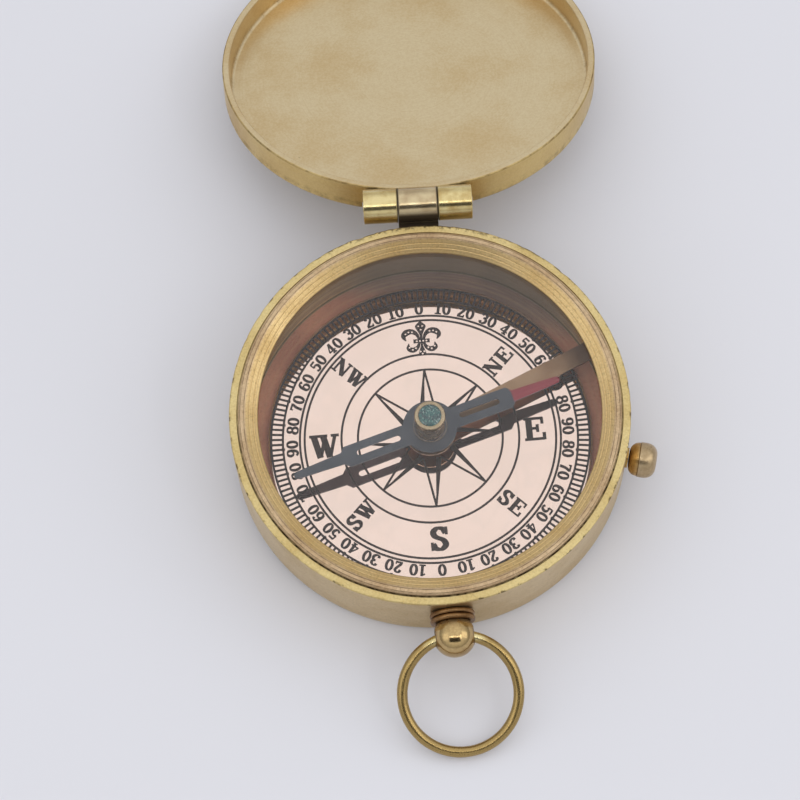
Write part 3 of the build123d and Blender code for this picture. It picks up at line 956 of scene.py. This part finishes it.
coat("needle_blade", needle_paint("needle_paint"))
coat("needle_collar", fitting_brass)
cap = piece_of("bearing_cap", [celled(spun(rounded([
    (cap_bore, cap_low, 0),
    (cap_spigot, cap_low, 0),
    (cap_spigot, blade_top, 0),
    (cap_foot_radius, blade_top, 0.05),
    (cap_foot_radius, cap_foot_top, 0.1),
    (cap_stem_radius, cap_foot_top, 0.06),
    (cap_stem_radius, cap_rim_span[0], 0.05),
    (cap_radius, cap_rim_span[1], 0.08),
    (cap_radius, cap_high, cap_top_round),
    (stone_seat, cap_high, 0.06),
    (stone_seat, stone_low, 0),
    (cap_bore, stone_low, 0),
], closed=True), around=128), closed_rows=True)])
cap.data.materials.append(turned_brass(
    "cap_brass", tint(226, 200, 168), tint(202, 174, 140), tint(60, 50, 36),
    zones=[
        (rim_zone, tint(192, 172, 142), tint(150, 128, 100)),
        (foot_zone, tint(84, 85, 94), tint(70, 72, 82)),
    ],
    gloss=0.2, cloud_size=4.0,
))
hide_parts("needle_cap")
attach(cap, "needle")


def mottled_stone(name):
    """Polished stone: cells and noise mottle blue-green with dark veins and pale grains, under a polish."""
    made, spot = new_finish(name)
    warp = spot.noise(1.3, 4, 0.65)
    cells = spot.node("TexVoronoi", {"feature": "F1"}, {"Vector": spot, "Scale": 2.2, "Randomness": 1.0})
    vein = (warp + cells * 0.4).rise(0.60, 0.80)
    pale = spot.noise(3.0, 3, 0.6).rise(0.55, 0.66)
    colour = warp.rise(0.35, 0.65).blend(tint(16, 76, 76), tint(50, 106, 98))
    colour = (vein * 0.85).blend(colour, tint(24, 42, 52))
    spot.surface({
        "Base Color": (pale * 0.7).blend(colour, tint(166, 190, 182)),
        "Roughness": 0.18 + warp * 0.15,
        "Coat Weight": 0.6,
        "Coat Roughness": 0.08,
        "Normal": warp.bump(0.03),
    })
    return made


stone = piece_of("cap_stone", [celled(spun(rounded([
    (0, stone_low, 0),
    (stone_radius, stone_low, stone_edge_round),
    (stone_radius, stone_shoulder, stone_edge_round),
    stone_crown,
    (0, stone_high, 0),
]), around=128))])
stone.data.materials.append(mottled_stone("green_stone"))
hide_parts("cap_jewel")
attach(stone, "needle")

# A flat disc of window glass closes the case. It lies under the lip of the bezel, a brass ring pressed into
# the mouth, and a split brass ring holds it up from below. The bezel's bevel shows the lathe's lines.
glass_low, glass_high = limits("glass")[:, 2]
glass_radius = limits("glass")[1, 0]
glass_edge_round = 0.12
glass_mirror_share = 0.034
pocket_radius = glass_radius + 0.05
lip_radius = glass_radius - 1.42
lip_height = 0.15
spigot_low, crest_height = limits("bezel_ring")[:, 2]
spigot_radius = bore_radius - 0.02
collar_edge = 0.2
crest_width = 0.95
crest_round = 0.12
bevel_round = 0.06
crest_lines = (0.15, 0.85)
bevel_lines = (0.34, 0.66)
score_depth = 0.05
score_half = 0.08
score_rounds = (0.03, 0.02)


def window_glass(name):
    """Clear glass: light passes straight through, and the share that a glass face mirrors shines off it, a
    little square on and all of it at a grazing look. Noise leaves a faint film of dust on the shine."""
    made, spot = new_finish(name)
    film = spot.noise(0.25, 5, 0.7).rise(0.45, 0.8)
    grazing = spot.node("LayerWeight", {}, {"Blend": 0.5}, "Facing")
    mirrored = glass_mirror_share + grazing ** 5 * (1 - glass_mirror_share)
    clear = spot.node("BsdfTransparent", {}, {"Color": (0.985, 0.99, 0.985, 1)})
    shine = spot.node("BsdfPrincipled", {}, {
        "Base Color": film.blend((0.9, 0.9, 0.9, 1), (0.75, 0.75, 0.72, 1)),
        "Metallic": 1.0,
        "Roughness": 0.02 + film * 0.08,
    })
    mixed = spot.node("MixShader", {}, {0: mirrored * 0.9 + film * 0.012, 1: clear, 2: shine})
    spot.node("OutputMaterial", {}, {"Surface": mixed})
    return made


crystal = piece_of("window_disc", [celled(spun(rounded([
    (0, glass_low, 0),
    (glass_radius, glass_low, glass_edge_round),
    (glass_radius, glass_high, glass_edge_round),
    (0, glass_high, 0),
])))])
crystal.data.materials.append(window_glass("clear_glass"))
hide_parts("glass")
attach(crystal, "case")

crest_outer = np.array((collar_radius - collar_edge, crest_height))
crest_inner = crest_outer - (crest_width, 0)
lip_outer = np.array((lip_radius, glass_high + lip_height))


def scored(start, end, shares):
    """Corners of a V-shaped lathe line at each share of a straight run from start to end."""
    ahead = (end - start) / np.hypot(*(end - start))
    out = np.array((ahead[1], -ahead[0]))
    corners = []
    for share in shares:
        middle = start + (end - start) * share
        corners += [
            (*(middle - ahead * score_half), score_rounds[0]),
            (*(middle - out * score_depth), score_rounds[1]),
            (*(middle + ahead * score_half), score_rounds[0]),
        ]
    return corners


def bevel_zone(own, radius, height):
    """The bevel inside the crest."""
    return radius.rise(crest_inner[0] + 0.1, crest_inner[0] - 0.4)


def bezel_wear(own, radius, height):
    """Grime and painted shade at the collar's foot, grime in the crest's lathe lines, both in broken
    stretches, and a brown line at the lip."""
    # Painted shade, with grime, where the collar meets the ledge.
    foot = height.rise(ledge_height + 0.5, ledge_height + 0.1)
    foot = foot * radius.rise(collar_radius - 0.2, collar_radius - 0.05)
    broken = own.noise(0.3, 4, 0.7).rise(0.36, 0.6)
    dirt_and_shade = foot * (0.4 + broken * 0.45)
    for share in crest_lines:
        off = radius - (crest_outer[0] - crest_width * share)
        line = abs(off).rise(score_half + 0.03, score_half - 0.03)
        dirt_and_shade = dirt_and_shade.most(line * (0.2 + broken * 0.35))
    return dirt_and_shade.most(radius.rise(lip_radius + 0.2, lip_radius + 0.05) * 0.5)


bezel = piece_of("bezel_collar", [celled(spun(rounded([
    (pocket_radius, spigot_low, 0.05),
    (spigot_radius, spigot_low, 0.1),
    (spigot_radius, ledge_height, 0),
    (collar_radius, ledge_height, 0.04),
    (collar_radius, crest_height - collar_edge, crest_round),
    (*crest_outer, crest_round),
    *scored(crest_outer, crest_inner, crest_lines),
    (*crest_inner, bevel_round),
    *scored(crest_inner, lip_outer, bevel_lines),
    (*lip_outer, bevel_round),
    (lip_radius, glass_high, 0.04),
    (pocket_radius, glass_high, 0),
], closed=True, arc_steps=5, run_steps=5), around=400), closed_rows=True)])
bezel.data.materials.append(turned_brass(
    "bezel_brass", tint(214, 188, 152), tint(178, 148, 112), tint(64, 48, 20),
    zones=[(bevel_zone, tint(224, 196, 142), tint(206, 173, 115))],
    wear_and_shade=bezel_wear, gloss=0.3, ring_depth=0.03, ring_tint=0.75, fleck=0.5, pitting=0.3,
))
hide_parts("bezel_ring")
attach(bezel, "case")
coat("glass_retainer", fitting_brass)

# The hinge has one knuckle on a leaf soldered to the case and two on leaves soldered to the lid. Each is
# heavy sheet brass with a solid rolled barrel, and a steel pin runs through all three.
hinge_y, hinge_z = (value / MM for value in joints["lid_hinge"]["pos_m"][1:])
open_turn = math.radians(joints["lid_hinge"]["range_deg"][0])
barrel_radius = round(limits("case_hinge_leaf")[1, 2] - hinge_z, 2)
leaf_height = 4.8
leaf_bite = 0.5
leaf_gap = 0.03
leaf_steps = 8
wall_steps = 10
case_knuckle_half = limits("case_hinge_leaf")[1, 0]
lid_knuckle_ends = limits("lid_knuckle_right")[:, 0]
knuckle_edge = 0.14
knuckle_edge_steps = 5
knuckle_run_steps = 7
barrel_steps = 72
valley_turn = 0.62


def knuckle_grid(start, end, side):
    """A closed outline of leaf and barrel, carried along X, with a valley between barrel and wall. The leaf's
    back follows the drum's round wall, and near each end the outline draws in by a quarter circle, so that
    the barrel's edge is broken."""
    face = -barrel_radius + leaf_bite
    meet = -math.sqrt(barrel_radius**2 - face**2)
    turn = np.linspace(math.atan2(meet, face), math.pi + valley_turn, barrel_steps)
    bottom = np.linspace(-leaf_height, meet, leaf_steps, endpoint=False)
    out = np.concatenate([np.full(leaf_steps, face), barrel_radius * np.cos(turn)])
    up = np.concatenate([bottom, barrel_radius * np.sin(turn)])
    wall_up = np.linspace(-barrel_radius * math.sin(valley_turn), -leaf_height, wall_steps)
    level = np.concatenate([up, wall_up]) * side
    bend = np.linspace(0, math.pi / 2, knuckle_edge_steps)
    inset = knuckle_edge * (1 - np.sin(bend))
    run = knuckle_edge * (1 - np.cos(bend))
    between = np.linspace(start, end, knuckle_run_steps + 2)[1:-1]
    along = np.concatenate([start + run, between, end - run[::-1]])
    drawn = np.concatenate([inset, np.zeros(knuckle_run_steps), inset[::-1]])
    wall = np.sqrt((case_radius + leaf_gap) ** 2 - along**2) - hinge_y
    across = np.hstack([np.tile(out, (len(along), 1)), np.tile(wall[:, None], (1, len(wall_up)))])
    ahead = np.roll(level, -1) - np.roll(level, 1)
    sideways = np.roll(across, -1, 1) - np.roll(across, 1, 1)
    length = np.hypot(sideways, ahead)
    across = across - side * drawn[:, None] * ahead / length
    height = level + side * drawn[:, None] * sideways / length
    return np.stack([np.broadcast_to(along[:, None], across.shape), across + hinge_y, height + hinge_z], -1)


def swung(points):
    """Points of the shut lid, turned about the hinge to where the lid stands open."""
    cos, sin = math.cos(open_turn), math.sin(open_turn)
    turn = np.array([[1, 0, 0], [0, cos, -sin], [0, sin, cos]])
    pivot = np.array((0, hinge_y, hinge_z))
    return (points - pivot) @ turn.T + pivot


def hinge_brass(name, turn, tone, deep):
    """Drawn brass: lines along the barrel, a slow cloud from one tone to another, dark pits, and black grime
    with painted shade in the gaps between the knuckles and in the valley at the wall."""
    made, spot = new_finish(name)
    own = spot.moved((0, hinge_y, hinge_z), (turn, 0, 0), (8, 1, 1))
    lines = own.noise(1.8, 5, 0.7)
    cloud = spot.noise(0.35, 4, 0.6).rise(0.35, 0.7)
    pits = spot.noise(1.5, 3, 0.7).rise(0.72, 0.78)
    # Painted shade, with grime, in the gaps between knuckles and in the valley at the wall.
    gap = abs(abs(spot.axis("X")) - case_knuckle_half).rise(0.34, 0.08)
    valley = own.axis("Y").rise(-0.74 * barrel_radius, -0.92 * barrel_radius)
    dirt_and_shade = (pits * 0.8).most(gap * 0.85).most(valley * 0.95)
    colour = cloud.blend(tone, deep)
    spot.surface({
        "Base Color": dirt_and_shade.blend(colour, tint(40, 28, 16)),
        "Metallic": 1 - dirt_and_shade * 0.5,
        "Roughness": 0.14 + lines * 0.14 + dirt_and_shade * 0.3,
        "Normal": (lines + cloud * 0.4).bump(0.010),
    })
    return made


case_leaf = knuckle_grid(-case_knuckle_half, case_knuckle_half, 1)
case_hinge_brass = hinge_brass("case_hinge_brass", 0, tint(208, 190, 152), tint(186, 164, 128))
case_knuckle = piece_of("case_knuckle", [celled(case_leaf, ends=True)])
case_knuckle.data.materials.append(case_hinge_brass)
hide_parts("case_hinge_leaf")
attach(case_knuckle, "case")
lid_hinge_brass = hinge_brass("lid_hinge_brass", open_turn, tint(224, 206, 152), tint(196, 170, 112))
for hand, flip in (("left", -1), ("right", 1)):
    near, far = sorted(flip * end for end in lid_knuckle_ends)
    lid_knuckle = piece_of(f"lid_leaf_{hand}", [celled(swung(knuckle_grid(near, far, -1)), ends=True)])
    lid_knuckle.data.materials.append(lid_hinge_brass)
    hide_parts(f"lid_knuckle_{hand}")
    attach(lid_knuckle, "lid")
coat("hinge_pin", steel)

# The lid is a shallow cup turned from the same brass, plain on both sides. Its wall is a deeper gold, its
# inside is pale and clouded by fingers, and the rim is scuffed dark in places.
lid_radius = case_radius
lid_gap = 0.1
lid_depth = 6.0
lid_sheet = 1.2
lid_clearance = 0.3
lid_rim_round = 0.3
lid_inner_round = 0.7
lid_top_round = 0.8
lid_mouth = ledge_height + lid_gap
lid_top = ledge_height + lid_depth
lid_roof = lid_top - lid_sheet
lid_inner = collar_radius + lid_clearance
lid_origin = swung(np.zeros((1, 3)))[0]


def lid_wall_zone(own, radius, height):
    """The lid's outer wall."""
    return radius.rise(lid_radius - 0.35, lid_radius - 0.1) * height.rise(lid_top, lid_top - 0.5)


def lid_wear(own, radius, height):
    """A dark line of wear along the rim's outer edge, and a brown one in the inside corner."""
    rim = height.rise(lid_mouth + 0.4, lid_mouth + 0.15) * radius.rise(lid_radius - 0.3, lid_radius - 0.12)
    corner = radius.rise(lid_inner - 0.8, lid_inner - 0.1) * height.rise(lid_roof - 1.2, lid_roof - 0.2)
    patches = own.noise(0.5, 4, 0.7)
    return (rim * (0.3 + patches.rise(0.4, 0.7) * 0.5)).most(corner * patches.rise(0.4, 0.7) * 0.4)


lid = piece_of("lid_cup", [celled(swung(spun(rounded([
    (0, lid_roof, 0),
    (lid_inner, lid_roof, lid_inner_round),
    (lid_inner, lid_mouth, lid_rim_round),
    (lid_radius, lid_mouth, lid_rim_round),
    (lid_radius, lid_top, lid_top_round),
    (0, lid_top, 0),
]), around=400)))])
lid.data.materials.append(turned_brass(
    "lid_brass", tint(228, 210, 172), tint(210, 184, 138), tint(84, 62, 30),
    place=lid_origin, turn=(open_turn, 0, 0),
    zones=[(lid_wall_zone, tint(218, 192, 130), tint(198, 166, 104))],
    wear_and_shade=lid_wear, gloss=0.26, fleck=0.5, cloud_size=16.0,
))
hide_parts("lid_shell")
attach(lid, "lid")

# The pendant is a polished ball on a neck, screwed into the wall over two thin collars that heat has turned
# red-brown. A bow of round brass wire passes through the ball and swings in its hole.
ball_centre = np.array(joints["bow_swing"]["pos_m"]) / MM
ball_out = ball_centre * (1, 1, 0) / np.hypot(*ball_centre[:2])
ball_across = np.array((-ball_out[1], ball_out[0], 0))
pendant_turn = math.atan2(ball_out[1], ball_out[0])
pendant_level = ball_centre[2]
ball_reach = np.hypot(*ball_centre[:2])
ball_radius = 3.6
ball_squash = 0.95
ball_neck = 2.55
ball_taper = 0.17
ball_hole = 1.41
ball_rows = 81
ball_around = 160
ball_hole_rows = 10
collar_ring_radius = 3.9
collar_ring_thickness = 0.9
collar_ring_round = 0.4
collar_starts = (case_radius + 0.05, case_radius + 1.0)
shank_radius = 1.52
wire_radius = 0.95
bow_radius = 10.0
bow_droop = math.radians(20.5)
bow_sag = bow_radius - math.sqrt(bow_radius**2 - ball_radius**2)
bow_forward = ball_out * math.cos(bow_droop) - np.array((0, 0, math.sin(bow_droop)))
bow_upright = ball_out * math.sin(bow_droop) + np.array((0, 0, math.cos(bow_droop)))
bow_unevenness = 0.015
bow_rows = 280
bow_around = 40


def ball_grid():
    """In each direction from the ball's middle the surface stands at the sphere's radius, or towards the
    case at that of a drum cut off at the neck and tapered to it. Its outer half is a little flattened. A hole
    of constant radius joins the sides, so the grid goes round the hole's axis and back through it."""
    rim = math.acos(ball_hole / ball_radius)
    lean = np.linspace(-rim, rim, ball_rows)[:, None]
    turn = np.linspace(0, 2 * math.pi, ball_around, endpoint=False)
    side = np.sin(lean) + 0 * turn
    out = np.cos(lean) * np.cos(turn)
    up = np.cos(lean) * np.sin(turn)
    drum = ball_radius / np.maximum(np.hypot(side, up), 1e-6)
    drum = np.minimum(drum, ball_neck / np.maximum(-out, 1e-6))
    reach = np.where(out > 0, ball_radius, drum)
    slim = 1 - ball_taper * (np.clip(-out * reach, 0, None) / ball_neck) ** 2
    flat = np.where(out > 0, ball_squash, 1)
    outer = np.stack([side * reach * slim, out * reach * flat, up * reach * slim], -1)
    depth = np.linspace(1, -1, ball_hole_rows + 2)[1:-1, None] * math.sin(rim) * ball_radius
    bore = np.stack(np.broadcast_arrays(depth, ball_hole * np.cos(turn), ball_hole * np.sin(turn)), -1)
    return np.vstack([outer, bore]) @ np.stack([ball_across, ball_out, (0, 0, 1)]) + ball_centre


def ball_wear(own, radius, height):
    """Brown tarnish by the neck, and painted shade at the mouths of the hole, where the wire enters."""
    neck = height.rise(ball_reach - 1.2, ball_reach - 2.4) * own.noise(0.8, 3).rise(0.3, 0.6)
    y = own.axis("Y")
    # Painted shade at the mouths of the hole.
    off = ((height - ball_reach) ** 2 + y * y) ** 0.5
    mouth = off.rise(ball_hole + 0.55, ball_hole + 0.1) * own.noise(1.2, 3).rise(0.25, 0.5)
    return (neck * 0.55).most(mouth * 0.7)


ball = piece_of("pendant_bead", [celled(ball_grid(), closed_rows=True)], sharp=40)
ball.data.materials.append(turned_brass(
    "ball_brass", tint(202, 175, 124), tint(168, 139, 95), tint(70, 44, 22),
    place=(0, 0, pendant_level), turn=laid_down(pendant_turn),
    wear_and_shade=ball_wear, gloss=0.09, ring_depth=0.004, fleck=0.5, cloud_size=4.0,
))
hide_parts("pendant_ball")
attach(ball, "case")
collar_brass = turned_brass(
    "collar_brass", tint(158, 122, 82), tint(112, 82, 52), tint(58, 36, 20),
    place=(0, 0, pendant_level), turn=laid_down(pendant_turn), gloss=0.24, fleck=0.8, cloud_size=3.0,
)
for place, start in zip(("inner", "outer"), collar_starts):
    ring = piece_of(f"pendant_washer_{place}", [celled(outwards(spun(rounded([
        (shank_radius, start, 0),
        (collar_ring_radius, start, collar_ring_round),
        (collar_ring_radius, start + collar_ring_thickness, collar_ring_round),
        (shank_radius, start + collar_ring_thickness, 0),
    ], closed=True), around=128), pendant_turn, pendant_level), closed_rows=True)])
    ring.data.materials.append(collar_brass)
    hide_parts(f"pendant_collar_{place}")
    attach(ring, "case")


def bow_grid():
    """A round wire carried round a circle that hangs from the ball's hole and droops. The wire's radius
    varies by a few hundredths, as hand-bent wire does."""
    turn = np.linspace(0, 2 * math.pi, bow_rows, endpoint=False)[:, None]
    girth = np.linspace(0, 2 * math.pi, bow_around, endpoint=False)
    uneven = 1 - bow_unevenness * (1 + np.sin(7 * turn + 2 * girth) * np.cos(4 * turn))
    thick = bow_radius + wire_radius * uneven * np.cos(girth)
    across = thick * np.sin(turn)
    out = bow_radius - bow_sag / 2 + thick * np.cos(turn)
    up = wire_radius * uneven * np.sin(girth) + 0 * turn
    return np.stack([across, out, up], -1) @ np.stack([ball_across, bow_forward, bow_upright]) + ball_centre


def drawn_wire(name):
    """Drawn brass wire: olive gold and clouded, its crown left bright and its lower flank browned by painted
    shade, as of the dark horizon it mirrors, by the height over the bow's own plane, with pits and a few dark
    scuffs."""
    made, spot = new_finish(name)
    lean = Matrix((ball_across, bow_forward, bow_upright)).transposed().to_euler()
    own = spot.moved(ball_centre, tuple(lean))
    # Painted shade: below the crown, the wire's lower flank is darkened by its height over the bow's plane.
    crown = own.axis("Z").rise(-0.1 * wire_radius, 0.6 * wire_radius)
    cloud = spot.noise(0.3, 4, 0.6).rise(0.35, 0.7)
    scuff = spot.noise(0.9, 4, 0.7).rise(0.66, 0.76)
    fine = spot.noise(4.0, 4, 0.7)
    colour = cloud.blend(tint(224, 210, 160), tint(202, 182, 124))
    colour = crown.blend(tint(172, 146, 94), colour)
    spot.surface({
        "Base Color": (scuff * 0.6).blend(colour, tint(92, 70, 34)),
        "Metallic": 1 - scuff * 0.4,
        "Roughness": 0.22 + fine * 0.12 + scuff * 0.25,
        "Normal": (fine + cloud * 0.5).bump(0.008),
    })
    return made


bow = piece_of("carrying_bow", [celled(bow_grid(), closed_rows=True)])
bow.data.materials.append(drawn_wire("ring_brass"))
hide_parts("bow_ring")
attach(bow, "bow")

# The stage: a pale floor under the case's front edge and the lid's far rim, which carry the open compass,
# a soft bright dome of light with two soft boxes, a dark card that only polished metal sees, and the camera.
floor_front = -(case_radius - base_round)
lid_points = np.empty(len(frame["nodes"]["lid_shell"].data.vertices) * 3)
frame["nodes"]["lid_shell"].data.vertices.foreach_get("co", lid_points)
lid_y, lid_z = lid_points.reshape(-1, 3).T[1:] / MM
floor_slope = (lid_z / (lid_y - floor_front)).min()
floor_half = 3000.0


def sheet(name, middle, right, up):
    """A flat sheet, in millimetres: its middle, plus or minus half its width and half its height."""
    corners = [middle + right * x + up * y for x, y in ((-1, -1), (1, -1), (1, 1), (-1, 1))]
    mesh = bpy.data.meshes.new(name)
    mesh.from_pydata((np.array(corners) * MM).tolist(), [], [(0, 1, 2, 3)])
    made = bpy.data.objects.new(name, mesh)
    bpy.context.scene.collection.objects.link(made)
    return made


floor = sheet(
    "floor",
    np.array((0, floor_front, 0)),
    np.array((floor_half, 0, 0)),
    np.array((0, floor_half, floor_half * floor_slope)),
)
paper, spot = new_finish("floor_paper")
fibre = spot.noise(0.6, 4, 0.6)
spot.surface({
    "Base Color": spot.noise(0.01, 3).blend(tint(222, 222, 228), tint(218, 218, 224)),
    "Roughness": 0.7 + fibre * 0.2,
    "Specular IOR Level": 0.2,
})
floor.data.materials.append(paper)

card_elevation = math.radians(57)
card_distance = 600.0
card_half = (340.0, 150.0)
card_right = np.array((1.0, 0, 0))
card_back = np.array((0, -math.cos(card_elevation), math.sin(card_elevation)))
card_up = np.cross(card_back, card_right)
card = sheet("dark_card", card_back * card_distance, card_right * card_half[0], card_up * card_half[1])
card_paper, spot = new_finish("card_paper")
spot.surface({
    "Base Color": spot.noise(0.05, 2).blend((0.03, 0.03, 0.03, 1), (0.05, 0.05, 0.05, 1)),
    "Roughness": 0.9,
})
card.data.materials.append(card_paper)
card.visible_camera = False
card.visible_diffuse = False
card.visible_shadow = False

dome = bpy.data.worlds.new("light_tent")
dome.use_nodes = True
dome.node_tree.nodes.clear()
way = Wire(dome.node_tree, None).node("TexCoord", output="Generated")
height = way.axis("Z")
horizon = height.also("Y").rise(0.3, 1.0) * height.rise(0.42, 0.12)
glow = 0.36 + height.rise(-0.05, 0.8) * 0.6 + horizon * 0.36
shell = way.node("Background", {}, {"Color": (0.97, 0.98, 1.0, 1), "Strength": glow})
way.node("OutputWorld", {}, {"Surface": shell})
bpy.context.scene.world = dome


def stand(thing, place, axes):
    """Puts a lamp or camera at a place in metres, with its own X, Y and Z along three axes."""
    columns = Matrix(np.stack(axes, 1).tolist())
    thing.matrix_world = Matrix.Translation(place.tolist()) @ columns.to_4x4()
    bpy.context.scene.collection.objects.link(thing)


def soft_box(name, place, size, radiance):
    """Area light, size metres wide and high, that faces the compass and looks as bright as radiance."""
    lamp = bpy.data.lights.new(name, "AREA")
    lamp.shape = "RECTANGLE"
    lamp.size, lamp.size_y = size
    lamp.energy = radiance * math.pi * size[0] * size[1]
    lamp.color = (1.0, 0.99, 0.97)
    place = np.array(place, float)
    back = place / np.linalg.norm(place)
    side = np.cross((0, 1, 0) if abs(back[1]) < 0.9 else (0, 0, 1), back)
    side /= np.linalg.norm(side)
    stand(bpy.data.objects.new(name, lamp), place, [side, np.cross(back, side), back])


bar_width = 0.05
bar_gap = 0.02
bar_radiance = 3.2
bar_rise = card_half[1] * MM + bar_gap + bar_width / 2
bar_middle = card_back * card_distance * MM + card_up * bar_rise
post_height = 0.42
post_rise = 0.12
post_reach = card_half[0] * MM + bar_gap
post_middle = card_back * card_distance * MM + card_right * post_reach + card_up * post_rise
soft_box("soft_box_top", (0.05, 0.3, 0.9), (0.9, 0.9), 0.08)
soft_box("soft_box_left", (-0.8, -0.1, 0.6), (0.6, 0.6), 0.4)
soft_box("soft_box_right", (0.85, 0.0, 0.6), (0.6, 0.6), 0.75)
soft_box("window_bar", bar_middle, (2 * card_half[0] * MM, bar_width), bar_radiance)
soft_box("window_post", post_middle, (bar_width, post_height), bar_radiance)

lens_mm = 125.13
film_width = 36.0
view_distance = 500.024
view_elevation = math.radians(70.525)
view_azimuth = math.radians(-0.108)
view_roll = math.radians(3.040)
view_target = np.array((-5.05, 7.411, dial_top))
back = np.array((
    math.sin(view_azimuth) * math.cos(view_elevation),
    -math.cos(view_azimuth) * math.cos(view_elevation),
    math.sin(view_elevation),
))
level = np.array((math.cos(view_azimuth), math.sin(view_azimuth), 0))
upright = np.cross(back, level)
camera_x = math.cos(view_roll) * level - math.sin(view_roll) * upright
camera_y = math.sin(view_roll) * level + math.cos(view_roll) * upright
lens = bpy.data.cameras.new("photo_camera")
lens.lens = lens_mm
lens.sensor_width = film_width
lens.clip_start = 0.01
camera = bpy.data.objects.new("photo_camera", lens)
stand(camera, (view_target + back * view_distance) * MM, [camera_x, camera_y, back])
bpy.context.scene.camera = camera
bpy.context.scene.view_settings.view_transform = "Standard"
